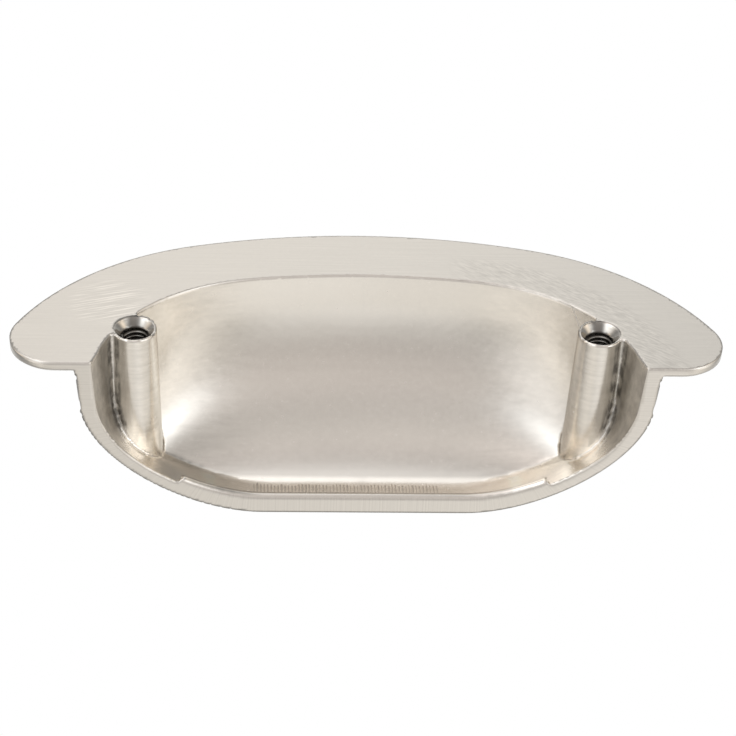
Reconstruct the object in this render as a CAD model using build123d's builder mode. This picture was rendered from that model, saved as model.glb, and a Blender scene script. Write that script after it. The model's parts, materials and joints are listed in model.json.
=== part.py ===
"""Die-cast cup pull for drawers, 76.2 mm between screw centres.

The frame is the one the pull is mounted in. The origin lies on the back face,
midway between the two screw holes. X runs along the pull, Y points into the
drawer front, and Z points up. The cup opens downwards and towards the drawer.
"""

import os
from math import acos, atan2, cos, hypot, radians, sin, sqrt, tan

from build123d import *

# Screw posts
hole_spacing = 76.2
post_radius = 3.6
post_draft = 1.4
thread_radius = 2.085
thread_depth = 14.0
drill_point_angle = 118.0
countersink_radius = 3.5
countersink_angle = 90.0

# Back plate, a crescent with rounded ears
plate_thickness = 2.0
plate_top = 28.9
rim_drop = 10.0
plate_crown_radius = 108.0
plate_shoulder_radius = 44.0
ear_reach = 13.4
ear_radius = 7.6
plate_bevel = 0.6
bevel_angle = 45.0

# Cavity arch where it meets the back face
arch_top = 16.4
arch_crown_radius = 119.0
arch_shoulder_radius = 30.4
arch_draft = 1.5

# Side view of the cavity midway along, rolling from its roof to its front wall
roof_depth = 7.0
roof_slope = 12.0
roll_radius = 24.4
roll_height = 16.2
roll_end_angle = 84.0

# Plan of the cavity at the rim
rim_half_width = 44.5
rim_depth = 28.0
rim_corner_start = 17.0
rim_front_pull = 9.7
rim_side_pull = 11.8
rim_side_start = 8.0

# Plan of the cavity at the belly and above, where the cup is fullest
belly_height = 11.0
belly_draw_in = 1.9
belly_bulge = 1.1
belly_corner_start = 14.0
belly_front_pull = 15.0
belly_side_pull = 14.0
belly_side_start = 12.4
side_draft = 3.5

# Walls of the cup
front_wall = 2.45
side_wall = 2.7
roof_wall = 2.4

# Lip inside the front of the rim
lip_half_length = 30.5
lip_proud = 0.9
lip_height = 1.7
lip_bevel = 0.5

# Length by which cutting forms run past what they cut
margin = 8.0

# Length by which the cavity's arch runs on below the rim
foot_drop = 1.0

# Distance within which the roll's surface keeps to its points
skin_tolerance = 0.05

plate_half_width = rim_half_width + ear_reach
belly_half_width = rim_half_width - belly_draw_in
belly_depth = rim_depth + belly_bulge
rim_level = -rim_drop
belly_level = rim_level + belly_height


def held_arc_center(big_center, big_radius, small_center, small_radius, radius):
    """Centre of an arc that touches a big circle from inside and holds a small one."""
    run = small_center[0] - big_center[0]
    rise = small_center[1] - big_center[1]
    gap = hypot(run, rise)
    to_big = big_radius - radius
    to_small = radius - small_radius
    along = (to_big**2 - to_small**2 + gap**2) / (2 * gap)
    across = sqrt(to_big**2 - along**2)
    return (
        big_center[0] + (run * along - rise * across) / gap,
        big_center[1] + (rise * along + run * across) / gap,
    )


def point_past(start, through, distance):
    """Point on the line from start through another point, at a distance from start."""
    run = through[0] - start[0]
    rise = through[1] - start[1]
    scale = distance / hypot(run, rise)
    return (start[0] + run * scale, start[1] + rise * scale)


def arc_middle(center, start, end):
    """Middle of the shorter arc about a centre from one point to another."""
    radius = hypot(start[0] - center[0], start[1] - center[1])
    chord_middle = ((start[0] + end[0]) / 2, (start[1] + end[1]) / 2)
    return point_past(center, chord_middle, radius)


def plate_outline():
    """Crescent of the back plate, on the back face."""
    crown_center = (0, plate_top - plate_crown_radius)
    ear_center = (plate_half_width - ear_radius, rim_level + ear_radius)
    shoulder_center = held_arc_center(
        crown_center, plate_crown_radius, ear_center, ear_radius, plate_shoulder_radius
    )
    crown_end = point_past(crown_center, shoulder_center, plate_crown_radius)
    shoulder_end = point_past(shoulder_center, ear_center, plate_shoulder_radius)
    ear_end = (ear_center[0], rim_level)
    with BuildSketch(Plane.XZ) as outline:
        with BuildLine():
            ThreePointArc(
                (0, plate_top), arc_middle(crown_center, (0, plate_top), crown_end), crown_end
            )
            ThreePointArc(
                crown_end, arc_middle(shoulder_center, crown_end, shoulder_end), shoulder_end
            )
            ThreePointArc(shoulder_end, arc_middle(ear_center, shoulder_end, ear_end), ear_end)
            Line(ear_end, (0, rim_level))
            mirror(about=Plane.YZ)
        make_face()
    return outline.sketch


def arch_points(wall):
    """Points on the cavity's arch from one foot to the other, on the back face, grown by a wall."""
    crown_center = (0, arch_top - arch_crown_radius)
    shoulder_center = held_arc_center(
        crown_center,
        arch_crown_radius,
        (rim_half_width, rim_level),
        0,
        arch_shoulder_radius,
    )
    crown_radius = arch_crown_radius + wall
    shoulder_radius = arch_shoulder_radius + wall
    crown_end = atan2(shoulder_center[0], shoulder_center[1] - crown_center[1])
    foot = acos((rim_level - foot_drop - shoulder_center[1]) / shoulder_radius)
    crown = [(crown_center, crown_radius, crown_end * step / 6) for step in range(6)]
    turn = foot - crown_end
    shoulder = [
        (shoulder_center, shoulder_radius, crown_end + turn * step / 8) for step in range(9)
    ]
    half = []
    for center, radius, angle in crown + shoulder:
        half.append((center[0] + radius * sin(angle), center[1] + radius * cos(angle)))
    return [(-x, z) for x, z in reversed(half[1:])] + half


def roll_stations(side, roof):
    """Depths from the back face to the front and the height of the crown at each."""
    center = (roll_radius - belly_depth, roll_height - roll_radius)
    radius = roll_radius + roof
    slope = radians(roof_slope)
    roof_end = (center[0] - radius * sin(slope), center[1] + radius * cos(slope))
    top = arch_top + side
    stations = []
    for depth in (0, -roof_depth / 2, -roof_depth):
        drafted = top + depth * tan(radians(arch_draft))
        sloped = roof_end[1] + (depth - roof_end[0]) * tan(slope)
        stations.append((depth, min(drafted, sloped)))
    for step in range(10):
        angle = radians(roof_slope + (roll_end_angle - roof_slope) * step / 9)
        stations.append((center[0] - radius * sin(angle), center[1] + radius * cos(angle)))
    end_depth, end_height = stations[-1]
    for share in (0.45, 0.9):
        drop = (end_height - rim_level) * share
        stations.append((end_depth - drop / tan(angle), end_height - drop))
    return stations


def roll_block(side, roof):
    """Everything under the cup's roll, on which the arch sinks to the rim as it runs forward."""
    arch = arch_points(side)
    full_height = arch_top + side - rim_level
    rows = []
    for depth, height in roll_stations(side, roof):
        share = (height - rim_level) / full_height
        rows.append([Vector(x, depth, rim_level + (z - rim_level) * share) for x, z in arch])
    skin = Face.make_surface_from_array_of_points(rows, tol=skin_tolerance)
    with BuildPart() as block:
        extrude(skin, amount=2 * full_height, dir=(0, 0, -1))
    return block.part


def plan_points(level, front, side):
    """Points of half the cup's plan at a level, grown by a front and a side wall.

    The flare eases out with height and ends at the belly.
    """
    share = 1 - (1 - (min(level, belly_level) - rim_level) / belly_height) ** 2
    half_width = rim_half_width + (belly_half_width - rim_half_width) * share + side
    depth = rim_depth + (belly_depth - rim_depth) * share + front
    corner_start = rim_corner_start + (belly_corner_start - rim_corner_start) * share
    front_pull = rim_front_pull + (belly_front_pull - rim_front_pull) * share + side
    side_pull = rim_side_pull + (belly_side_pull - rim_side_pull) * share
    side_start = rim_side_start + (belly_side_start - rim_side_start) * share
    lean = tan(radians(side_draft))
    return [
        (corner_start, -depth),
        (corner_start + front_pull, -depth),
        (half_width - lean * (side_start + side_pull), -side_start - side_pull),
        (half_width - lean * side_start, -side_start),
        (half_width + lean * margin, margin),
    ]


def plan_region(level, front, side):
    """Closed plan of the cup at a level, running past the back face."""
    corner_start, front_pull, side_pull, side_start, back_end = plan_points(level, front, side)
    with BuildSketch(Plane.XY.offset(level)) as region:
        with BuildLine():
            Line((0, corner_start[1]), corner_start)
            Bezier(corner_start, front_pull, side_pull, side_start)
            Line(side_start, back_end)
            Line(back_end, (0, back_end[1]))
            mirror(about=Plane.YZ)
        make_face()
    return region.sketch


def cup_form(front, side, roof):
    """Bowl of the cup as a solid, grown by its walls: zero for the cavity itself."""
    levels = (
        rim_level - margin / 2,
        rim_level,
        rim_level + belly_height / 3,
        rim_level + 2 * belly_height / 3,
        belly_level,
        belly_level + margin / 2,
        arch_top + margin,
    )
    with BuildPart() as form:
        loft(sections=[plan_region(level, front, side) for level in levels])
        add(roll_block(side, roof), mode=Mode.INTERSECT)
    return form.part


# Outside of the cup, cut flat at the rim
with BuildPart() as shell:
    add(cup_form(front_wall, side_wall, roof_wall))
    split(bisect_by=Plane.XY.offset(rim_level), keep=Keep.TOP)

# Hollow of the cup
with BuildPart() as hollow:
    add(cup_form(0, 0, 0))

# Screw posts, running from the back face into the front wall
with BuildPart() as posts:
    with BuildSketch(Plane.XZ) as post_ends:
        with Locations((-hole_spacing / 2, 0), (hole_spacing / 2, 0)):
            Circle(post_radius)
    extrude(amount=belly_depth, taper=-post_draft)
    add(cup_form(front_wall / 2, side_wall / 2, roof_wall / 2), mode=Mode.INTERSECT)

# Tapped hole with its countersink and drill point, along Y from the origin
mouth_depth = (countersink_radius - thread_radius) / tan(radians(countersink_angle / 2))
point_depth = thread_radius / tan(radians(drill_point_angle / 2))
with BuildPart() as tapped_hole:
    with BuildSketch(Plane.XY) as hole_profile:
        with BuildLine():
            Polyline(
                (0, 0),
                (countersink_radius, 0),
                (thread_radius, -mouth_depth),
                (thread_radius, -thread_depth),
                (0, -thread_depth - point_depth),
                close=True,
            )
        make_face()
    revolve(axis=Axis.Y)

# Lip inside the front of the rim, bevelled towards a half round
with BuildPart() as lip:
    with BuildSketch(Plane.XY.offset(rim_level)) as lip_strip:
        add(plan_region(rim_level, front_wall / 2, side_wall / 2))
        add(plan_region(rim_level, -lip_proud, -lip_proud), mode=Mode.SUBTRACT)
        with Locations((0, -rim_depth)):
            Rectangle(2 * lip_half_length, rim_depth, mode=Mode.INTERSECT)
    extrude(amount=lip_height)
    inner_faces = lip.faces().filter_by(lambda face: face.normal_at().Y > 0.3)
    level_edges = inner_faces.edges().filter_by(lambda edge: abs((edge % 0.5).Z) < 0.5)
    chamfer(level_edges, length=lip_bevel)

# The casting: plate, cup, posts and lip as one piece
with BuildPart() as cup_pull:
    extrude(plate_outline(), amount=plate_thickness - plate_bevel)
    plate_front = cup_pull.faces().sort_by(Axis.Y)[0]
    extrude(plate_front, amount=plate_bevel, taper=bevel_angle)
    add(shell.part)
    add(hollow.part, mode=Mode.SUBTRACT)
    add(posts.part)
    add(lip.part)
    with Locations((-hole_spacing / 2, 0, 0), (hole_spacing / 2, 0, 0)):
        add(tapped_hole.part, mode=Mode.SUBTRACT)

cup_pull.part.label = "cup_pull"

os.makedirs("parts", exist_ok=True)
export_step(cup_pull.part, "parts/cup_pull.step")
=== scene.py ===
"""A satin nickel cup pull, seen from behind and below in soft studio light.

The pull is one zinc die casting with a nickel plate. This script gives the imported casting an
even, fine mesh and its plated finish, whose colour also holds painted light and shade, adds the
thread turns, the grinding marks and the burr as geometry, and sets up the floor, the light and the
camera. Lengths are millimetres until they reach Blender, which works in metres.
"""

from __future__ import annotations

import json
import logging
import math
from dataclasses import dataclass

import bmesh
import bpy
import numpy as np
from mathutils import Matrix, Vector, kdtree
from mathutils.bvhtree import BVHTree

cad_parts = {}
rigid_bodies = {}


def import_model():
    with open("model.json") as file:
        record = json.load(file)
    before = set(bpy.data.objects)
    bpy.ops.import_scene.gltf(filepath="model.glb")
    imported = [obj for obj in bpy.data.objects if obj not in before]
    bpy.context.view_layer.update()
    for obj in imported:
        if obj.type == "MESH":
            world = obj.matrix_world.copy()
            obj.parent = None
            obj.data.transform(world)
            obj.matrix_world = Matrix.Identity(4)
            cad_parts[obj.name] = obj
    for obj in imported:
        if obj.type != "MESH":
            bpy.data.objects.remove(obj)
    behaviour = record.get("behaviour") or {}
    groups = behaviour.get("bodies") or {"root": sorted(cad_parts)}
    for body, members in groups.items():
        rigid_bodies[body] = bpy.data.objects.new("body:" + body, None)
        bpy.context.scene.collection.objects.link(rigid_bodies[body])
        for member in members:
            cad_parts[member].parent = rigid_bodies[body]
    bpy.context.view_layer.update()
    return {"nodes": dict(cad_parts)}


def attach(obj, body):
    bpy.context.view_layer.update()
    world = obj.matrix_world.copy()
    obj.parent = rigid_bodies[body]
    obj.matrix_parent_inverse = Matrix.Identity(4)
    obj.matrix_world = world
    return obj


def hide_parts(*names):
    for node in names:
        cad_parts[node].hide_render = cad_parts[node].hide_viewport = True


LOG = logging.getLogger("cup_pull")

MM = 0.001
NODE = "cup_pull"
BODY = "root"

# Sizes that the casting, its marks and its finish share, in millimetres
HOLE_X = 38.1
COUNTERSINK_RADIUS = 3.5
RIM_Z = -10.0

# The centre in X and Y and the radius of the rim's corners, and the least place ahead of that
# centre, which keeps the angle around it steady
RIM_CORNER = (18.0, -8.0)
RIM_CORNER_RADIUS = 23.0
LEAST_AHEAD = 0.01

# The mesh attribute that tells the cup's inside from its outside, and a place inside the cup
HOLLOW = "hollow"
CUP_MIDDLE = (0.0, -8.0, -2.0)


def linear(hex_colour: str) -> tuple[float, float, float, float]:
    """Turn an sRGB hex colour to linear light.

    Args:
        hex_colour: Six hex digits after a hash sign.

    Returns:
        Red, green, blue and an alpha of one.
    """
    values = [int(hex_colour[i : i + 2], 16) / 255 for i in (1, 3, 5)]
    red, green, blue = (
        v / 12.92 if v <= 0.04045 else ((v + 0.055) / 1.055) ** 2.4 for v in values
    )
    return (red, green, blue, 1.0)


def put(name: str, data: bpy.types.ID) -> bpy.types.Object:
    """Put an object in the scene, at the origin.

    Args:
        name: The object's name.
        data: Its mesh or camera.

    Returns:
        The object.
    """
    item = bpy.data.objects.new(name, data)
    bpy.context.scene.collection.objects.link(item)
    return item


def add_node(
    tree: bpy.types.NodeTree, kind: str, links: dict | None = None, **settings: object
) -> bpy.types.Node:
    """Add one node to a tree.

    Args:
        tree: The tree that gets the node.
        kind: The node's type name.
        links: Input name or index to an output socket, or to a plain value.
        settings: Attributes of the node itself.

    Returns:
        The new node.
    """
    node = tree.nodes.new(kind)
    for name, value in settings.items():
        setattr(node, name, value)
    for key, value in (links or {}).items():
        socket = node.inputs[key]
        if isinstance(value, bpy.types.NodeSocket):
            tree.links.new(value, socket)
        else:
            socket.default_value = value
    return node


def new_tree(name: str, inputs: dict[str, str]) -> bpy.types.NodeTree:
    """Start a Geometry Nodes tree with named inputs.

    Args:
        name: The tree's name.
        inputs: The type of each input after the geometry, under its name.

    Returns:
        The tree, without nodes.
    """
    tree = bpy.data.node_groups.new(name, "GeometryNodeTree")
    tree.interface.new_socket("Geometry", in_out="INPUT", socket_type="NodeSocketGeometry")
    for label, kind in inputs.items():
        tree.interface.new_socket(label, in_out="INPUT", socket_type=kind)
    tree.interface.new_socket("Geometry", in_out="OUTPUT", socket_type="NodeSocketGeometry")
    return tree


def finish_tree(
    tree: bpy.types.NodeTree, geometry: bpy.types.NodeSocket, material: bpy.types.NodeSocket
) -> None:
    """End a Geometry Nodes tree with real geometry in its material.

    Args:
        tree: The tree.
        geometry: What the tree made.
        material: The input that holds the material.
    """
    real = add_node(tree, "GeometryNodeRealizeInstances", {"Geometry": geometry})
    dressed = add_node(
        tree, "GeometryNodeSetMaterial", {"Geometry": real.outputs[0], "Material": material}
    )
    add_node(tree, "NodeGroupOutput", {0: dressed.outputs[0]})


def grow(
    name: str, guide: bpy.types.Mesh, tree: bpy.types.NodeTree, values: dict[str, object]
) -> bpy.types.Object:
    """Run a Geometry Nodes tree on a guide and keep the result as a plain mesh.

    Args:
        name: The new piece's name.
        guide: The mesh that the tree starts from.
        tree: The tree.
        values: A value for each of the tree's named inputs.

    Returns:
        The piece, at the origin.
    """
    host = put(name + "_guide", guide)
    modifier = host.modifiers.new(name, "NODES")
    modifier.node_group = tree
    for item in tree.interface.items_tree:
        if item.item_type == "SOCKET" and item.in_out == "INPUT" and item.name in values:
            modifier[item.identifier] = values[item.name]
    depsgraph = bpy.context.evaluated_depsgraph_get()
    mesh = bpy.data.meshes.new_from_object(host.evaluated_get(depsgraph))
    host.modifiers.remove(modifier)
    bpy.data.objects.remove(host)
    mesh.name = name
    return put(name, mesh)


def guide_line(name: str, places: list[Vector], joined: bool = True) -> bpy.types.Mesh:
    """Make a guide for a tree to start from.

    Args:
        name: The guide's name.
        places: Its points in metres.
        joined: Whether edges join the points in a row.

    Returns:
        The guide.
    """
    mesh = bpy.data.meshes.new(name)
    links = [(i, i + 1) for i in range(len(places) - 1)] if joined else []
    mesh.from_pydata([tuple(place) for place in places], links, [])
    return mesh


def probe(
    surface: BVHTree, start: tuple[float, float, float], way: tuple[float, float, float]
) -> Vector:
    """Find where a ray meets the casting.

    Args:
        surface: The casting's surface.
        start: The ray's start in millimetres.
        way: The ray's direction.

    Returns:
        The place in metres.
    """
    return surface.ray_cast(Vector(start) * MM, Vector(way))[0]


@dataclass
class ThreadTurns:
    """The thread's turns in both screw holes, from under the countersink to the last full turn."""

    radius: float = 2.085
    pitch: float = 0.794
    crest: float = 0.36
    section_corners: int = 4
    turns: float = 15.2
    first_depth: float = 1.75
    steps_per_turn: int = 40

    def tree(self) -> bpy.types.NodeTree:
        """Build the tree: a helix with a ridged section, set at each hole.

        Returns:
            The tree.
        """
        tree = new_tree(
            "thread_turns",
            {
                "Pitch": "NodeSocketFloat",
                "Turns": "NodeSocketFloat",
                "Radius": "NodeSocketFloat",
                "Crest": "NodeSocketFloat",
                "Steps": "NodeSocketInt",
                "Material": "NodeSocketMaterial",
            },
        )
        given = add_node(tree, "NodeGroupInput").outputs
        length = add_node(
            tree, "ShaderNodeMath", {0: given["Pitch"], 1: given["Turns"]}, operation="MULTIPLY"
        )
        helix = add_node(
            tree,
            "GeometryNodeCurveSpiral",
            {
                "Resolution": given["Steps"],
                "Rotations": given["Turns"],
                "Start Radius": given["Radius"],
                "End Radius": given["Radius"],
                "Height": length.outputs[0],
            },
        )
        upright = add_node(
            tree, "GeometryNodeSetCurveNormal", {"Curve": helix.outputs[0]}, mode="Z_UP"
        )
        section = add_node(
            tree,
            "GeometryNodeCurvePrimitiveCircle",
            {"Resolution": self.section_corners, "Radius": given["Crest"]},
        )
        ridge = add_node(
            tree,
            "GeometryNodeCurveToMesh",
            {"Curve": upright.outputs[0], "Profile Curve": section.outputs[0], "Fill Caps": True},
        )
        laid = add_node(
            tree,
            "GeometryNodeTransform",
            {"Geometry": ridge.outputs[0], "Rotation": (math.pi / 2, 0, 0)},
        )
        placed = add_node(
            tree,
            "GeometryNodeInstanceOnPoints",
            {"Points": given["Geometry"], "Instance": laid.outputs[0]},
        )
        finish_tree(tree, placed.outputs[0], given["Material"])
        return tree

    def build(self, material: bpy.types.Material) -> bpy.types.Object:
        """Make the turns.

        Args:
            material: The thread's material.

        Returns:
            The turns of both holes as one piece.
        """
        mouths = [Vector((side * HOLE_X, -self.first_depth, 0)) * MM for side in (-1, 1)]
        return grow(
            "thread_turns",
            guide_line("thread_mouths", mouths, joined=False),
            self.tree(),
            {
                "Pitch": self.pitch * MM,
                "Turns": self.turns,
                "Radius": self.radius * MM,
                "Crest": self.crest * MM,
                "Steps": self.steps_per_turn,
                "Material": material,
            },
        )


@dataclass
class ChatterMarks:
    """Fine upright ridges that the grinding wheel left inside the front wall, above the lip."""

    span: tuple[float, float] = (-12.5, 18.5)
    levels: tuple[float, float] = (-7.9, -4.4)
    spacing: float = 0.58
    radius: float = 0.15
    corners: int = 8
    flatness: float = 0.36
    least_stretch: tuple[float, float, float] = (0.6, 0.4, 0.55)
    most_stretch: tuple[float, float, float] = (1.3, 1.25, 1.05)
    # The share of the cup's inside tones that the ridges take, which on the wall above the lip is
    # painted light
    painted_light_share: float = 0.2
    probe_depth: float = -20.0
    steps: int = 12
    seed: int = 11

    def tree(self) -> bpy.types.NodeTree:
        """Build the tree: low rounded ridges set evenly along a line.

        Returns:
            The tree.
        """
        tree = new_tree(
            "chatter_marks",
            {
                "Spacing": "NodeSocketFloat",
                "Radius": "NodeSocketFloat",
                "Length": "NodeSocketFloat",
                "Flatness": "NodeSocketFloat",
                "Tilt": "NodeSocketFloat",
                "Seed": "NodeSocketInt",
                "Material": "NodeSocketMaterial",
            },
        )
        given = add_node(tree, "NodeGroupInput").outputs
        line = add_node(tree, "GeometryNodeMeshToCurve", {"Mesh": given["Geometry"]})
        spots = add_node(
            tree,
            "GeometryNodeResampleCurve",
            {"Curve": line.outputs[0], "Length": given["Spacing"]},
            mode="LENGTH",
        )
        ridge = add_node(
            tree,
            "GeometryNodeMeshCylinder",
            {"Vertices": self.corners, "Radius": given["Radius"], "Depth": given["Length"]},
        )
        low = add_node(tree, "ShaderNodeCombineXYZ", {"X": 1.0, "Y": given["Flatness"], "Z": 1.0})
        flat = add_node(
            tree, "GeometryNodeTransform", {"Geometry": ridge.outputs[0], "Scale": low.outputs[0]}
        )
        lean = add_node(tree, "ShaderNodeCombineXYZ", {"X": given["Tilt"]})
        stretch = add_node(
            tree,
            "FunctionNodeRandomValue",
            {"Min": self.least_stretch, "Max": self.most_stretch, "Seed": given["Seed"]},
            data_type="FLOAT_VECTOR",
        )
        placed = add_node(
            tree,
            "GeometryNodeInstanceOnPoints",
            {
                "Points": spots.outputs[0],
                "Instance": flat.outputs[0],
                "Rotation": lean.outputs[0],
                "Scale": stretch.outputs[0],
            },
        )
        finish_tree(tree, placed.outputs[0], given["Material"])
        return tree

    def build(self, surface: BVHTree, material: bpy.types.Material) -> bpy.types.Object:
        """Make the ridges.

        Args:
            surface: The casting's surface.
            material: The ridges' material.

        Returns:
            The ridges as one piece.
        """
        first, last = self.span
        low, high = self.levels
        middle = (low + high) / 2
        forward = (0, -1, 0)
        places = []
        for index in range(self.steps + 1):
            across = first + (last - first) * index / self.steps
            places.append(probe(surface, (across, self.probe_depth, middle), forward))
        foot = probe(surface, (0.0, self.probe_depth, low), forward)
        head = probe(surface, (0.0, self.probe_depth, high), forward)
        tilt = math.atan2(foot.y - head.y, head.z - foot.z)
        marks = grow(
            "chatter_marks",
            guide_line("chatter_line", places),
            self.tree(),
            {
                "Spacing": self.spacing * MM,
                "Radius": self.radius * MM,
                "Length": (high - low) * MM,
                "Flatness": self.flatness,
                "Tilt": tilt,
                "Seed": self.seed,
                "Material": material,
            },
        )
        mark_hollow(marks.data, self.painted_light_share)
        return marks


@dataclass
class EdgeBurr:
    """A fine, uneven burr that the belt raised along the cavity's edge on the back face."""

    span: tuple[float, float] = (-37.0, -6.0)
    probe_depth: float = -0.25
    depth: float = -0.03
    spacing: float = 0.35
    thickness: tuple[float, float] = (0.02, 0.1)
    corners: int = 6
    steps: int = 60
    seed: int = 5

    def tree(self) -> bpy.types.NodeTree:
        """Build the tree: a thin bead of uneven thickness along a line.

        Returns:
            The tree.
        """
        tree = new_tree(
            "edge_burr",
            {
                "Spacing": "NodeSocketFloat",
                "Thinnest": "NodeSocketFloat",
                "Thickest": "NodeSocketFloat",
                "Seed": "NodeSocketInt",
                "Material": "NodeSocketMaterial",
            },
        )
        given = add_node(tree, "NodeGroupInput").outputs
        line = add_node(tree, "GeometryNodeMeshToCurve", {"Mesh": given["Geometry"]})
        fine = add_node(
            tree,
            "GeometryNodeResampleCurve",
            {"Curve": line.outputs[0], "Length": given["Spacing"]},
            mode="LENGTH",
        )
        width = add_node(
            tree,
            "FunctionNodeRandomValue",
            {2: given["Thinnest"], 3: given["Thickest"], "Seed": given["Seed"]},
            data_type="FLOAT",
        )
        bead = add_node(
            tree, "GeometryNodeCurvePrimitiveCircle", {"Resolution": self.corners, "Radius": 1.0}
        )
        swept = add_node(
            tree,
            "GeometryNodeCurveToMesh",
            {
                "Curve": fine.outputs[0],
                "Profile Curve": bead.outputs[0],
                "Scale": width.outputs[1],
                "Fill Caps": True,
            },
        )
        finish_tree(tree, swept.outputs[0], given["Material"])
        return tree

    def build(self, surface: BVHTree, material: bpy.types.Material) -> bpy.types.Object:
        """Make the burr.

        Args:
            surface: The casting's surface.
            material: The burr's material.

        Returns:
            The burr.
        """
        first, last = self.span
        thinnest, thickest = self.thickness
        places = []
        for index in range(self.steps + 1):
            across = first + (last - first) * index / self.steps
            edge = probe(surface, (across, self.probe_depth, 0.0), (0, 0, 1))
            places.append(Vector((edge.x, self.depth * MM, edge.z)))
        return grow(
            "edge_burr",
            guide_line("burr_line", places),
            self.tree(),
            {
                "Spacing": self.spacing * MM,
                "Thinnest": thinnest * MM,
                "Thickest": thickest * MM,
                "Seed": self.seed,
                "Material": material,
            },
        )


@dataclass
class Casting:
    """The one-piece casting: plate, cup, lip and posts.

    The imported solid's own triangles follow its curves in facets. The casting gets an even mesh
    of the same shape, drawn onto its sharp edges and smoothed on the faces between them.
    """

    join_step: float = 0.002
    voxel: float = 0.42
    sharp_degrees: float = 28.0
    crease_level: float = -7.0
    crease_front: float = -3.0
    post_reach: float = 5.0
    edge_step: float = 0.08
    snap_to_edge: float = 0.24
    merge_step: float = 0.12
    sliver: float = 0.004
    held_near_edge: float = 0.4
    free_from_edge: float = 1.6
    smoothing_rounds: int = 40

    def merged_copy(self, node: bpy.types.Object) -> bmesh.types.BMesh:
        """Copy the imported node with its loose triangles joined.

        Args:
            node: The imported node.

        Returns:
            The copy, which the caller frees.
        """
        mesh = bmesh.new()
        mesh.from_mesh(node.data)
        bmesh.ops.remove_doubles(mesh, verts=mesh.verts, dist=self.join_step * MM)
        return mesh

    def on_roll(self, place: Vector) -> bool:
        """Tell whether a place is on the cup's roll or on the crease where it meets the wall.

        Args:
            place: A point on the casting.

        Returns:
            True there, where the casting has no sharp edge, and False by the posts and elsewhere.
        """
        across, depth, level = (axis / MM for axis in place)
        from_post = math.hypot(abs(across) - HOLE_X, level)
        on_crease = level > self.crease_level and depth < self.crease_front
        return on_crease and from_post > self.post_reach

    def sharp_points(self, mesh: bmesh.types.BMesh) -> kdtree.KDTree:
        """Set points along the casting's sharp edges.

        Args:
            mesh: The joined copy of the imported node.

        Returns:
            A search tree of the points.
        """
        limit = math.radians(self.sharp_degrees)
        points = []
        for edge in mesh.edges:
            start, end = edge.verts[0].co, edge.verts[1].co
            if self.on_roll(start.lerp(end, 0.5)):
                continue
            if len(edge.link_faces) != 2 or edge.calc_face_angle(0.0) < limit:
                continue
            if min(face.calc_area() for face in edge.link_faces) > self.sliver * MM * MM:
                steps = max(1, math.ceil((end - start).length / (self.edge_step * MM)))
                points += [start.lerp(end, i / steps) for i in range(steps + 1)]
        tree = kdtree.KDTree(len(points))
        for index, point in enumerate(points):
            tree.insert(point, index)
        tree.balance()
        return tree

    def remeshed(self, mesh: bmesh.types.BMesh) -> bpy.types.Mesh:
        """Make an even mesh of the same shape.

        Args:
            mesh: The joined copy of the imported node.

        Returns:
            The new mesh.
        """
        data = bpy.data.meshes.new("casting_source")
        mesh.to_mesh(data)
        source = put("casting_source", data)
        remesh = source.modifiers.new("even", "REMESH")
        remesh.mode = "VOXEL"
        remesh.voxel_size = self.voxel * MM
        remesh.use_smooth_shade = True
        result = bpy.data.meshes.new_from_object(
            source.evaluated_get(bpy.context.evaluated_depsgraph_get())
        )
        bpy.data.objects.remove(source)
        return result

    def settle(self, result: bpy.types.Mesh, mesh: bmesh.types.BMesh) -> None:
        """Lay the even mesh on the casting's surface and smooth away the facets.

        Args:
            result: The even mesh, changed in place.
            mesh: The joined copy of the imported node.
        """
        surface = BVHTree.FromBMesh(mesh)
        sharp = self.sharp_points(mesh)
        count = len(result.vertices)
        places = np.empty(count * 3)
        result.vertices.foreach_get("co", places)
        places = places.reshape(-1, 3)
        gaps = np.empty(count)
        for index in range(count):
            nearest = surface.find_nearest(places[index])[0]
            edge_place, _, gap = sharp.find(nearest)
            gaps[index] = gap / MM
            places[index] = edge_place if gaps[index] < self.snap_to_edge else nearest
        share = np.clip(
            (gaps - self.held_near_edge) / (self.free_from_edge - self.held_near_edge), 0, 1
        )
        places = smoothed(result, places, share * share * (3 - 2 * share), self.smoothing_rounds)
        result.vertices.foreach_set("co", places.ravel())
        joined = bmesh.new()
        joined.from_mesh(result)
        bmesh.ops.remove_doubles(joined, verts=joined.verts, dist=self.merge_step * MM)
        bmesh.ops.dissolve_degenerate(joined, edges=joined.edges, dist=self.merge_step * MM)
        joined.to_mesh(result)
        joined.free()
        result.update()

    def build(self, node: bpy.types.Object) -> bpy.types.Object:
        """Make the casting's visible mesh.

        Args:
            node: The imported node.

        Returns:
            The casting.
        """
        copy = self.merged_copy(node)
        result = self.remeshed(copy)
        self.settle(result, copy)
        copy.free()
        mark_hollow(result)
        result.name = "casting"
        return put("casting", result)


def mark_hollow(mesh: bpy.types.Mesh, share: float = 1.0) -> None:
    """Mark the points whose surface faces the middle of the cup.

    Args:
        mesh: The mesh, which gets the attribute.
        share: The mark's value there.
    """
    count = len(mesh.vertices)
    places = np.empty(count * 3)
    normals = np.empty(count * 3)
    mesh.vertices.foreach_get("co", places)
    mesh.vertices.foreach_get("normal", normals)
    to_middle = np.array(CUP_MIDDLE) * MM - places.reshape(-1, 3)
    facing = (to_middle * normals.reshape(-1, 3)).sum(axis=1) > 0
    attribute = mesh.attributes.new(HOLLOW, "FLOAT", "POINT")
    attribute.data.foreach_set("value", facing.astype(np.float32) * share)


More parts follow.
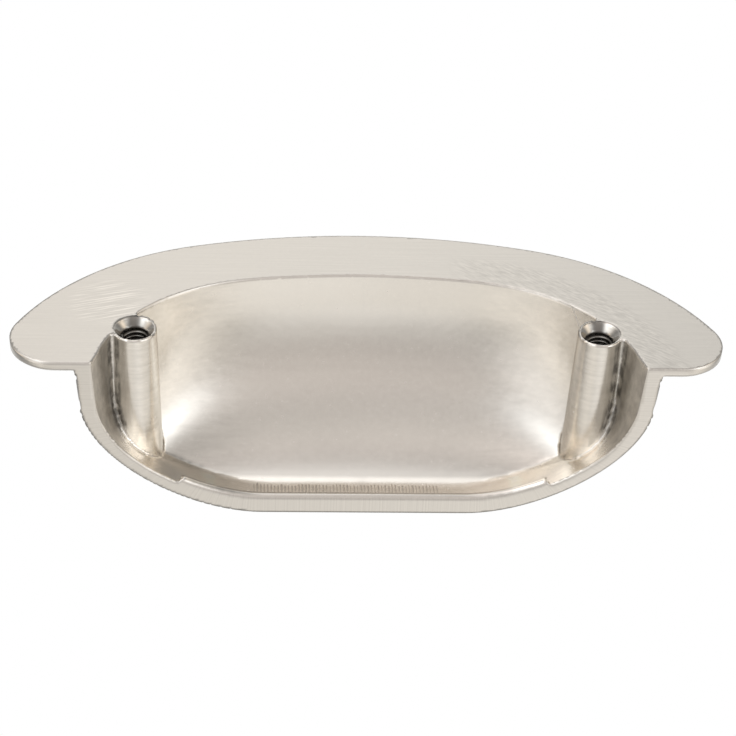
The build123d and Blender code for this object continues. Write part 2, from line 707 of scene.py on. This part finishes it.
def smoothed(
    mesh: bpy.types.Mesh, places: np.ndarray, share: np.ndarray, rounds: int
) -> np.ndarray:
    """Smooth points over a mesh's edges without shrinking them.

    Args:
        mesh: The mesh whose edges join the points.
        places: The points, one row each.
        share: How far each point may move, from zero to one.
        rounds: How many times to smooth.

    Returns:
        The smoothed points.
    """
    inward, outward = 0.55, -0.57
    ends = np.empty(len(mesh.edges) * 2, np.int64)
    mesh.edges.foreach_get("vertices", ends)
    ends = ends.reshape(-1, 2)
    first, second = ends[:, 0], ends[:, 1]
    count = len(places)
    degree = np.bincount(ends.ravel(), minlength=count)
    for _ in range(rounds):
        for factor in (inward, outward):
            mean = np.empty_like(places)
            for axis in range(3):
                column = places[:, axis]
                total = np.bincount(first, column[second], count) + np.bincount(
                    second, column[first], count
                )
                mean[:, axis] = total / degree
            places = places + (mean - places) * (share * factor)[:, None]
    return places


@dataclass(frozen=True)
class Band:
    """A span of places or distances in millimetres, with a soft edge at both ends."""

    low: float
    high: float
    soft: float


@dataclass(frozen=True)
class Zone:
    """A zone of the plate, where all its bands overlap.

    Across, depth and level are X, Y and Z. Aside is X without its sign, for zones on both sides.
    From hole is the distance from the screw hole's axis on that side, and reach is the distance
    from the axis through the X and Z in around.
    """

    within: Zone | None = None
    hollow: bool = False
    across: Band | None = None
    aside: Band | None = None
    depth: Band | None = None
    level: Band | None = None
    from_hole: Band | None = None
    around: tuple[float, float] = (0.0, 0.0)
    reach: Band | None = None


@dataclass(frozen=True)
class Grain:
    """Grain that runs along the axis with the fewest grains to the millimetre.

    The counts are along X, Y and Z, or along the rim and across it. Layers is how many finer
    layers lie on the grain, and turn is its turn about Y in degrees.
    """

    per_mm: tuple[float, float, float]
    layers: float = 2.0
    turn: float = 0.0
    along_rim: bool = False


@dataclass(frozen=True)
class Shade:
    """How light a zone is beside the plate's own colour, from its grain and scratches, and in some
    zones from painted light and shade.

    Two tones follow the grain between the limits, or without a grain the distance from the hole.
    """

    zone: Zone
    tones: tuple[float, ...]
    grain: Grain | None = None
    limits: tuple[float, float] = (0.3, 0.7)


# The back face and rim, which a belt brushed
BACK = Zone(depth=Band(-0.3, 1.0, 0.1))
RIM = Zone(level=Band(RIM_Z - 1.0, RIM_Z + 0.2, 0.2))

# The cut holes: the countersink, darker by the bore and lighter at its mouth, with painted shadow
# on its side away from the light and a painted shade line round the upper half of its mouth, and
# painted shade in the bore below
COUNTERSINK = Zone(
    depth=Band(-1.7, -0.02, 0.04), from_hole=Band(-1.0, COUNTERSINK_RADIUS + 0.08, 0.1)
)
CUT_SHADOW = Zone(
    COUNTERSINK, aside=Band(HOLE_X - 1.0, HOLE_X + 1.2, 1.0), level=Band(1.6, 5.0, 0.8)
)
CUT_EDGE_PAINTED_SHADE = Zone(COUNTERSINK, level=Band(-0.5, 5.0, 1.0), from_hole=Band(3.32, 4.0, 0.15))
BORE_PAINTED_SHADE = Zone(depth=Band(-17.5, -1.3, 0.3), from_hole=Band(-1.0, 2.3, 0.1))

# The posts, with painted shade down each one's outer side, and the surfaces around them: mottled
# painted shade on the inner side walls and in the gaps between the posts and the walls, and painted
# light low in the bowl's corners below the posts
INSIDE = Zone(hollow=True, depth=Band(-60.0, -0.35, 0.1))
POST = Zone(depth=Band(-27.0, -0.3, 0.2), from_hole=Band(2.8, 4.4, 0.3))
OUTER_STRIP_PAINTED_SHADE = Zone(POST, aside=Band(HOLE_X + 1.5, HOLE_X + 3.4, 0.25))
NEAR_POSTS = Zone(INSIDE, aside=Band(21.0, 60.0, 9.0))
POST_GAP_PAINTED_SHADE = Zone(INSIDE, aside=Band(40.4, 45.0, 0.8), from_hole=Band(3.8, 5.2, 0.5))
SIDE_WALL = Zone(
    INSIDE,
    aside=Band(39.6, 45.4, 1.2),
    depth=Band(-18.0, -0.3, 5.0),
    level=Band(RIM_Z + 0.1, 6.0, 0.1),
    from_hole=Band(4.2, 60.0, 0.4),
)
BELOW_POST_PAINTED_LIGHT = Zone(
    INSIDE, aside=Band(25.0, 40.0, 3.0), depth=Band(-29.0, -19.0, 2.0), level=Band(-9.7, -2.0, 1.0)
)

# Painted light on the bowl's roof by the back face and on the wall above the lip
ROOF_PAINTED_LIGHT = Zone(
    INSIDE, aside=Band(-1.0, 33.0, 4.0), depth=Band(-8.0, 0.0, 3.0), level=Band(6.0, 18.6, 4.0)
)
FRONT_WALL_PAINTED_LIGHT = Zone(
    INSIDE, aside=Band(-1.0, 26.0, 6.0), depth=Band(-29.4, -24.0, 0.4), level=Band(-8.2, -3.0, 1.0)
)

# The scratches on the back face: a patch at one end, and a band that follows the cavity's edge
SCRATCHED_PATCH = Zone(BACK, around=(42.5, 7.2), reach=Band(-1.0, 6.0, 3.5))
SCRATCHED_BAND = Zone(
    BACK, across=Band(-60.0, -16.0, 6.0), around=(-14.6, -15.2), reach=Band(30.0, 37.0, 3.0)
)

# Brushing of about 0.05 mm and grain of about 0.02 mm, drawn coarser so that they show
BRUSHED = Grain((0.06, 1.0, 4.5), layers=3.0)
RIM_BRUSHED = Grain((4.0, 1.0, 1.0), along_rim=True)
PEBBLED = Grain((1.1, 1.1, 1.1), layers=4.0)
POLISHED = Grain((0.09, 0.9, 0.9), layers=3.0)
TURNED_RINGS = Grain((0.01, 2.4, 0.01))
MOTTLED = Grain((0.8, 0.5, 0.8), layers=4.0)
STROKES = Grain((0.12, 1.0, 3.2), turn=-17.0)
SHORT_STROKES = Grain((0.45, 1.0, 3.0), layers=3.0, turn=38.0)

SHADES = (
    Shade(BACK, (0.96, 1.04), BRUSHED),
    # The rim's brushed grain, with the whole rim face also darkened as painted shade
    Shade(RIM, (0.81, 0.97), RIM_BRUSHED),
    Shade(NEAR_POSTS, (0.95, 1.04), POLISHED),
    Shade(POST, (0.96, 1.04), TURNED_RINGS),
    # Painted shade down the posts' outer sides, on the inner side walls and in the gaps by the
    # posts
    Shade(OUTER_STRIP_PAINTED_SHADE, (0.9,)),
    Shade(SIDE_WALL, (0.6, 0.8), MOTTLED, (0.35, 0.65)),
    Shade(POST_GAP_PAINTED_SHADE, (0.35, 0.8), MOTTLED, (0.42, 0.6)),
    # Painted light on the bowl's roof and on the wall above the lip
    Shade(ROOF_PAINTED_LIGHT, (1.09,)),
    Shade(FRONT_WALL_PAINTED_LIGHT, (1.38,)),
    # Painted light low in the bowl's corners below the posts
    Shade(BELOW_POST_PAINTED_LIGHT, (1.34,)),
    # The countersinks run from darker by the bore to lighter at the mouth, with painted shade on
    # their upper side and round the mouth, and in the bores
    Shade(COUNTERSINK, (0.75, 1.15), limits=(2.1, 3.4)),
    Shade(CUT_SHADOW, (0.4,)),
    Shade(CUT_EDGE_PAINTED_SHADE, (0.62,)),
    Shade(BORE_PAINTED_SHADE, (0.34,)),
    Shade(SCRATCHED_PATCH, (0.97, 1.22), STROKES, (0.5, 0.62)),
    Shade(SCRATCHED_BAND, (0.86, 1.08), SHORT_STROKES, (0.38, 0.64)),
)


class Pattern:
    """Masks and grain that lie on the pull by its own places, in millimetres."""

    def __init__(self, tree: bpy.types.NodeTree) -> None:
        """Start from Object coordinates.

        Args:
            tree: The material's tree.
        """
        self.tree = tree
        self.masks: dict[Zone, bpy.types.NodeSocket] = {}
        self.grains: dict[Grain, bpy.types.NodeSocket] = {}
        source = add_node(tree, "ShaderNodeTexCoord")
        self.place = add_node(
            tree,
            "ShaderNodeVectorMath",
            {0: source.outputs["Object"], "Scale": 1 / MM},
            operation="SCALE",
        ).outputs[0]
        axes = add_node(tree, "ShaderNodeSeparateXYZ", {0: self.place}).outputs
        self.across, self.depth, self.level = axes[0], axes[1], axes[2]
        self.aside = add_node(
            tree, "ShaderNodeMath", {0: self.across}, operation="ABSOLUTE"
        ).outputs[0]
        self.from_hole = self.away_from(self.aside, HOLE_X, 0.0)
        self.hollow = add_node(tree, "ShaderNodeAttribute", attribute_name=HOLLOW).outputs["Fac"]

    def away_from(self, across: bpy.types.NodeSocket, x: float, z: float) -> bpy.types.NodeSocket:
        """Measure the distance from an axis that runs along Y.

        Args:
            across: The place along X, signed or not.
            x: Where the axis is along X.
            z: Where the axis is along Z.

        Returns:
            The distance.
        """
        spot = add_node(self.tree, "ShaderNodeCombineXYZ", {0: across, 2: self.level})
        gap = add_node(
            self.tree,
            "ShaderNodeVectorMath",
            {0: spot.outputs[0], 1: (x, 0, z)},
            operation="DISTANCE",
        )
        return gap.outputs["Value"]

    def along_rim(self) -> bpy.types.NodeSocket:
        """Measure along the rim, so that brushing can run across its width.

        Returns:
            Places whose X is the distance along the rim from its middle and whose Y is its side.
        """
        tree = self.tree
        corner_x, corner_y = RIM_CORNER
        straight = add_node(
            tree, "ShaderNodeMath", {0: self.aside, 1: corner_x}, operation="MINIMUM"
        )
        past = add_node(tree, "ShaderNodeMath", {0: self.aside, 1: corner_x}, operation="SUBTRACT")
        side = add_node(tree, "ShaderNodeMath", {0: past.outputs[0], 1: 0.0}, operation="MAXIMUM")
        front = add_node(tree, "ShaderNodeMath", {0: corner_y, 1: self.depth}, operation="SUBTRACT")
        ahead = add_node(
            tree, "ShaderNodeMath", {0: front.outputs[0], 1: LEAST_AHEAD}, operation="MAXIMUM"
        )
        angle = add_node(
            tree, "ShaderNodeMath", {0: side.outputs[0], 1: ahead.outputs[0]}, operation="ARCTAN2"
        )
        bend = add_node(
            tree,
            "ShaderNodeMath",
            {0: angle.outputs[0], 1: RIM_CORNER_RADIUS, 2: straight.outputs[0]},
            operation="MULTIPLY_ADD",
        )
        behind = add_node(tree, "ShaderNodeMath", {0: self.depth, 1: corner_y}, operation="MAXIMUM")
        total = add_node(
            tree, "ShaderNodeMath", {0: bend.outputs[0], 1: behind.outputs[0]}, operation="ADD"
        )
        half = add_node(tree, "ShaderNodeMath", {0: self.across}, operation="SIGN")
        return add_node(
            tree, "ShaderNodeCombineXYZ", {0: total.outputs[0], 1: half.outputs[0]}
        ).outputs[0]

    def between(self, value: bpy.types.NodeSocket, band: Band) -> bpy.types.NodeSocket:
        """Mask the places where a value lies in a band.

        Args:
            value: The value.
            band: The band.

        Returns:
            One in the band and zero outside it.
        """
        edges = [
            add_node(
                self.tree,
                "ShaderNodeMapRange",
                {0: value, 1: limit - way * band.soft / 2, 2: limit + way * band.soft / 2},
                interpolation_type="SMOOTHSTEP",
            ).outputs[0]
            for limit, way in ((band.low, 1), (band.high, -1))
        ]
        return self.overlap(*edges)

    def overlap(self, *masks: bpy.types.NodeSocket) -> bpy.types.NodeSocket:
        """Multiply masks or tones.

        Args:
            masks: The masks or tones.

        Returns:
            Their product, which masks the places that every mask covers.
        """
        total = masks[0]
        for mask in masks[1:]:
            total = add_node(
                self.tree, "ShaderNodeMath", {0: total, 1: mask}, operation="MULTIPLY"
            ).outputs[0]
        return total

    def mask(self, zone: Zone) -> bpy.types.NodeSocket:
        """Mask a zone.

        Args:
            zone: The zone.

        Returns:
            One in the zone and zero outside it.
        """
        if zone not in self.masks:
            parts = [self.mask(zone.within)] if zone.within else []
            if zone.hollow:
                parts.append(self.hollow)
            for value, band in (
                (self.across, zone.across),
                (self.aside, zone.aside),
                (self.depth, zone.depth),
                (self.level, zone.level),
                (self.from_hole, zone.from_hole),
            ):
                if band:
                    parts.append(self.between(value, band))
            if zone.reach:
                parts.append(self.between(self.away_from(self.across, *zone.around), zone.reach))
            self.masks[zone] = self.overlap(*parts)
        return self.masks[zone]

    def drawn(self, grain: Grain) -> bpy.types.NodeSocket:
        """Draw a grain.

        Args:
            grain: The grain.

        Returns:
            The grain, around a half.
        """
        if grain not in self.grains:
            place = self.along_rim() if grain.along_rim else self.place
            turned = add_node(
                self.tree,
                "ShaderNodeMapping",
                {"Vector": place, "Rotation": (0, math.radians(grain.turn), 0)},
            )
            stretched = add_node(
                self.tree,
                "ShaderNodeMapping",
                {"Vector": turned.outputs[0], "Scale": grain.per_mm},
            )
            noise = add_node(
                self.tree,
                "ShaderNodeTexNoise",
                {
                    "Vector": stretched.outputs[0],
                    "Scale": 1.0,
                    "Detail": grain.layers,
                    "Roughness": 0.6,
                },
            )
            self.grains[grain] = noise.outputs[0]
        return self.grains[grain]

    def factor(self, shade: Shade) -> bpy.types.NodeSocket | float:
        """Find what a shade multiplies its zone's tone by.

        Args:
            shade: The shade.

        Returns:
            Its only tone, or its two tones spread over its grain or the distance from the hole.
        """
        if len(shade.tones) == 1:
            return shade.tones[0]
        source = self.drawn(shade.grain) if shade.grain else self.from_hole
        (low, high), (first, last) = shade.limits, shade.tones
        return add_node(
            self.tree, "ShaderNodeMapRange", {0: source, 1: low, 2: high, 3: first, 4: last}
        ).outputs[0]


@dataclass(frozen=True)
class SatinNickel:
    """Satin nickel plate over a belted and tumbled zinc casting.

    The plate gives the eye a warm grey metal. It is even and soft in the bowl, brushed on the back
    and the rim, scratched on the back by the cavity's edge, bright in the cut countersinks and dull
    down the sides. Its colour also holds painted light and shade: painted shade on the rim face,
    down the posts' outer sides, on the inner side walls, between the posts and the walls, round the
    countersinks and in the bores, and painted light on the bowl's roof, on the wall above the lip
    and low in the corners below the posts.
    """

    colour: str = "#DAD5CD"
    tone_spread: float = 0.025
    roughness: float = 0.25
    roughness_spread: float = 0.03
    brushed_roughness: float = 0.07
    cut_roughness: float = -0.08
    pebble_limits: tuple[float, float] = (0.25, 0.75)
    relief: float = 0.012

    def spread(self, pattern: Pattern, middle: float, reach: float) -> bpy.types.NodeSocket:
        """Spread a value over the plate's fine pebbling.

        Args:
            pattern: The finish's pattern.
            middle: The value's middle.
            reach: How far it goes to each side.

        Returns:
            The uneven value.
        """
        low, high = self.pebble_limits
        return add_node(
            pattern.tree,
            "ShaderNodeMapRange",
            {0: pattern.drawn(PEBBLED), 1: low, 2: high, 3: middle - reach, 4: middle + reach},
        ).outputs[0]

    def tinted(self, pattern: Pattern) -> bpy.types.NodeSocket:
        """Colour the plate, zone by zone, with painted light and shade in some zones.

        Args:
            pattern: The finish's pattern.

        Returns:
            The colour.
        """
        tone = self.spread(pattern, 1.0, self.tone_spread)
        for shade in SHADES:
            mix = add_node(
                pattern.tree,
                "ShaderNodeMix",
                {0: pattern.mask(shade.zone), 2: 1.0, 3: pattern.factor(shade)},
            )
            tone = pattern.overlap(tone, mix.outputs[0])
        tint = add_node(
            pattern.tree,
            "ShaderNodeVectorMath",
            {0: linear(self.colour)[:3], "Scale": tone},
            operation="SCALE",
        )
        return tint.outputs[0]

    def roughened(self, pattern: Pattern) -> bpy.types.NodeSocket:
        """Set how dull the plate is, zone by zone.

        Args:
            pattern: The finish's pattern.

        Returns:
            The roughness.
        """
        rough = self.spread(pattern, self.roughness, self.roughness_spread)
        for zone, change in (
            (BACK, self.brushed_roughness),
            (RIM, self.brushed_roughness),
            (SIDE_WALL, self.brushed_roughness),
            (COUNTERSINK, self.cut_roughness),
        ):
            rough = add_node(
                pattern.tree,
                "ShaderNodeMath",
                {0: pattern.mask(zone), 1: change, 2: rough},
                operation="MULTIPLY_ADD",
            ).outputs[0]
        return rough

    def embossed(self, pattern: Pattern) -> bpy.types.NodeSocket:
        """Raise the brushing, the turned rings and the scratches.

        Args:
            pattern: The finish's pattern.

        Returns:
            The normal.
        """
        height = pattern.overlap(pattern.mask(RIM), pattern.drawn(RIM_BRUSHED))
        for zone, grain in (
            (BACK, BRUSHED),
            (POST, TURNED_RINGS),
            (SCRATCHED_PATCH, STROKES),
            (SCRATCHED_BAND, SHORT_STROKES),
        ):
            height = add_node(
                pattern.tree,
                "ShaderNodeMath",
                {0: pattern.mask(zone), 1: pattern.drawn(grain), 2: height},
                operation="MULTIPLY_ADD",
            ).outputs[0]
        bump = add_node(
            pattern.tree,
            "ShaderNodeBump",
            {"Height": height, "Strength": 1.0, "Distance": self.relief * MM},
        )
        return bump.outputs[0]

    def material(self) -> bpy.types.Material:
        """Build the material.

        Returns:
            The material, named for the plate.
        """
        material = bpy.data.materials.new("satin_nickel_plate")
        material.use_nodes = True
        tree = material.node_tree
        shader = tree.nodes["Principled BSDF"].inputs
        pattern = Pattern(tree)
        shader["Metallic"].default_value = 1.0
        tree.links.new(self.tinted(pattern), shader["Base Color"])
        tree.links.new(self.roughened(pattern), shader["Roughness"])
        tree.links.new(self.embossed(pattern), shader["Normal"])
        return material


@dataclass
class Camera:
    """The photograph's camera: a long lens behind and below the pull, tipped a little."""

    position: tuple[float, float, float] = (18.82, 181.54, -261.94)
    aim: tuple[float, float, float] = (0.60, 0.0, -10.61)
    roll_degrees: float = -4.05
    lens: float = 95.62
    sensor_width: float = 36.0
    clip_metres: tuple[float, float] = (0.01, 20.0)

    def build(self) -> bpy.types.Object:
        """Make the camera and set it as the scene's own.

        Returns:
            The camera.
        """
        data = bpy.data.cameras.new("camera")
        data.lens = self.lens
        data.sensor_width = self.sensor_width
        data.clip_start, data.clip_end = self.clip_metres
        camera = put("camera", data)
        place = Vector(self.position) * MM
        look = (Vector(self.aim) * MM - place).to_track_quat("-Z", "Y")
        tip = Matrix.Rotation(math.radians(self.roll_degrees), 4, "Z")
        camera.matrix_world = Matrix.Translation(place) @ look.to_matrix().to_4x4() @ tip
        bpy.context.scene.camera = camera
        return camera


@dataclass(frozen=True)
class SoftCard:
    """A soft pale card beside the pull, as its direction, softness and light.

    The azimuth turns from +Y towards +X, and the elevation rises from the horizon, in degrees.
    A higher tightness gives a smaller card.
    """

    azimuth: float
    elevation: float
    tightness: float
    light: tuple[float, float, float]

    def way(self) -> tuple[float, float, float]:
        """Point from the pull to the card."""
        turn, rise = math.radians(self.azimuth), math.radians(self.elevation)
        return (math.sin(turn) * math.cos(rise), math.cos(turn) * math.cos(rise), math.sin(rise))


CARDS = (
    SoftCard(180, 38, 2.5, (0.62, 0.62, 0.62)),
    SoftCard(180, 70, 1.0, (0.50, 0.50, 0.50)),
    SoftCard(36, 0, 20, (1.45, 1.50, 1.52)),
    SoftCard(2, 30, 30, (1.20, 1.22, 1.25)),
    SoftCard(72, 0, 30, (1.35, 1.15, 0.95)),
    SoftCard(-54, 0, 30, (1.25, 1.10, 0.92)),
    SoftCard(-56, -32, 28, (1.90, 2.00, 2.10)),
    SoftCard(76, -46, 12, (1.18, 1.17, 1.17)),
    SoftCard(38, -30, 30, (1.75, 1.85, 1.95)),
    SoftCard(-90, -27, 12, (0.98, 0.95, 0.91)),
    SoftCard(18, 0, 12, (0.97, 0.88, 0.87)),
    SoftCard(110, -30, 30, (0.88, 0.83, 0.76)),
    SoftCard(-18, 63, 12, (0.62, 0.62, 0.61)),
    SoftCard(-18, -58, 5, (0.76, 0.71, 0.69)),
    SoftCard(148, -46, 12, (0.90, 0.87, 0.82)),
    SoftCard(-126, -32, 5, (0.67, 0.64, 0.59)),
    SoftCard(-162, -75, 30, (0.59, 0.60, 0.61)),
    SoftCard(-162, -41, 20, (0.86, 0.86, 0.86)),
    SoftCard(18, 58, 30, (0.43, 0.40, 0.37)),
    SoftCard(-9, -15, 12, (0.32, 0.32, 0.31)),
)


@dataclass
class Studio:
    """Pale floor and soft light from cards all round."""

    floor_half: float = 1500.0
    floor_gap: float = 0.05
    floor_colour: str = "#F4F3F1"
    floor_roughness: float = 0.8
    light_level: float = 0.9

    def floor(self) -> bpy.types.Object:
        """Make a plain floor under the rim, which is clear from below.

        Returns:
            The floor.
        """
        half = self.floor_half * MM
        level = (RIM_Z - self.floor_gap) * MM
        turns = ((-1, -1), (1, -1), (1, 1), (-1, 1))
        mesh = bpy.data.meshes.new("floor")
        mesh.from_pydata([(x * half, y * half, level) for x, y in turns], [], [(0, 1, 2, 3)])
        material = bpy.data.materials.new("pale_floor")
        material.use_nodes = True
        tree = material.node_tree
        shader = tree.nodes["Principled BSDF"]
        shader.inputs["Base Color"].default_value = linear(self.floor_colour)
        shader.inputs["Roughness"].default_value = self.floor_roughness
        sides = add_node(tree, "ShaderNodeNewGeometry")
        clear = add_node(tree, "ShaderNodeBsdfTransparent")
        mix = add_node(
            tree,
            "ShaderNodeMixShader",
            {0: sides.outputs["Backfacing"], 1: shader.outputs[0], 2: clear.outputs[0]},
        )
        tree.links.new(mix.outputs[0], tree.nodes["Material Output"].inputs["Surface"])
        mesh.materials.append(material)
        floor = put("floor", mesh)
        floor.visible_diffuse = False
        floor.visible_glossy = False
        floor.visible_shadow = False
        return floor

    def card_light(self, tree: bpy.types.NodeTree) -> bpy.types.NodeSocket:
        """Add up the cards' light for each direction.

        Args:
            tree: The world's tree.

        Returns:
            The summed colour.
        """
        place = add_node(tree, "ShaderNodeTexCoord")
        way = add_node(
            tree, "ShaderNodeVectorMath", {0: place.outputs["Generated"]}, operation="NORMALIZE"
        )
        total = None
        for card in CARDS:
            facing = add_node(
                tree,
                "ShaderNodeVectorMath",
                {0: way.outputs[0], 1: card.way()},
                operation="DOT_PRODUCT",
            )
            spread = add_node(
                tree,
                "ShaderNodeMath",
                {0: facing.outputs["Value"], 1: card.tightness, 2: -card.tightness},
                operation="MULTIPLY_ADD",
            )
            share = add_node(tree, "ShaderNodeMath", {0: spread.outputs[0]}, operation="EXPONENT")
            light = tuple(self.light_level * part for part in card.light)
            links = {0: share.outputs[0], 1: light}
            if total is None:
                total = add_node(tree, "ShaderNodeVectorMath", links, operation="MULTIPLY")
            else:
                links[2] = total.outputs[0]
                total = add_node(tree, "ShaderNodeVectorMath", links, operation="MULTIPLY_ADD")
        return total.outputs[0]

    def world(self) -> None:
        """Light the pull from all round, with a white background for the camera."""
        world = bpy.data.worlds.new("studio")
        world.use_nodes = True
        tree = world.node_tree
        light = tree.nodes["Background"]
        tree.links.new(self.card_light(tree), light.inputs["Color"])
        white = add_node(tree, "ShaderNodeBackground", {"Color": (1, 1, 1, 1), "Strength": 1.0})
        path = add_node(tree, "ShaderNodeLightPath")
        mix = add_node(
            tree,
            "ShaderNodeMixShader",
            {0: path.outputs["Is Camera Ray"], 1: light.outputs[0], 2: white.outputs[0]},
        )
        tree.links.new(mix.outputs[0], tree.nodes["World Output"].inputs["Surface"])
        bpy.context.scene.world = world

    def build(self) -> None:
        """Set up the floor and the light."""
        self.floor()
        self.world()


def clear_scene() -> None:
    """Remove the objects that Blender starts with."""
    for item in list(bpy.data.objects):
        bpy.data.objects.remove(item)


def main() -> None:
    """Build the pull and its studio."""
    logging.basicConfig(level=logging.INFO, format="%(message)s")
    clear_scene()
    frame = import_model()
    view = bpy.context.scene.view_settings
    view.view_transform = "Standard"

    casting = Casting().build(frame["nodes"][NODE])
    casting.data.materials.clear()
    casting.data.materials.append(SatinNickel().material())
    surface = BVHTree.FromObject(casting, bpy.context.evaluated_depsgraph_get())
    nickel = casting.data.materials[0]
    pieces = [
        casting,
        ThreadTurns().build(nickel),
        ChatterMarks().build(surface, nickel),
        EdgeBurr().build(surface, nickel),
    ]
    for piece in pieces:
        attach(piece, BODY)
        LOG.info("%s: %d faces", piece.name, len(piece.data.polygons))
    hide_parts(NODE)

    Studio().build()
    Camera().build()


if __name__ == "__main__":
    main()
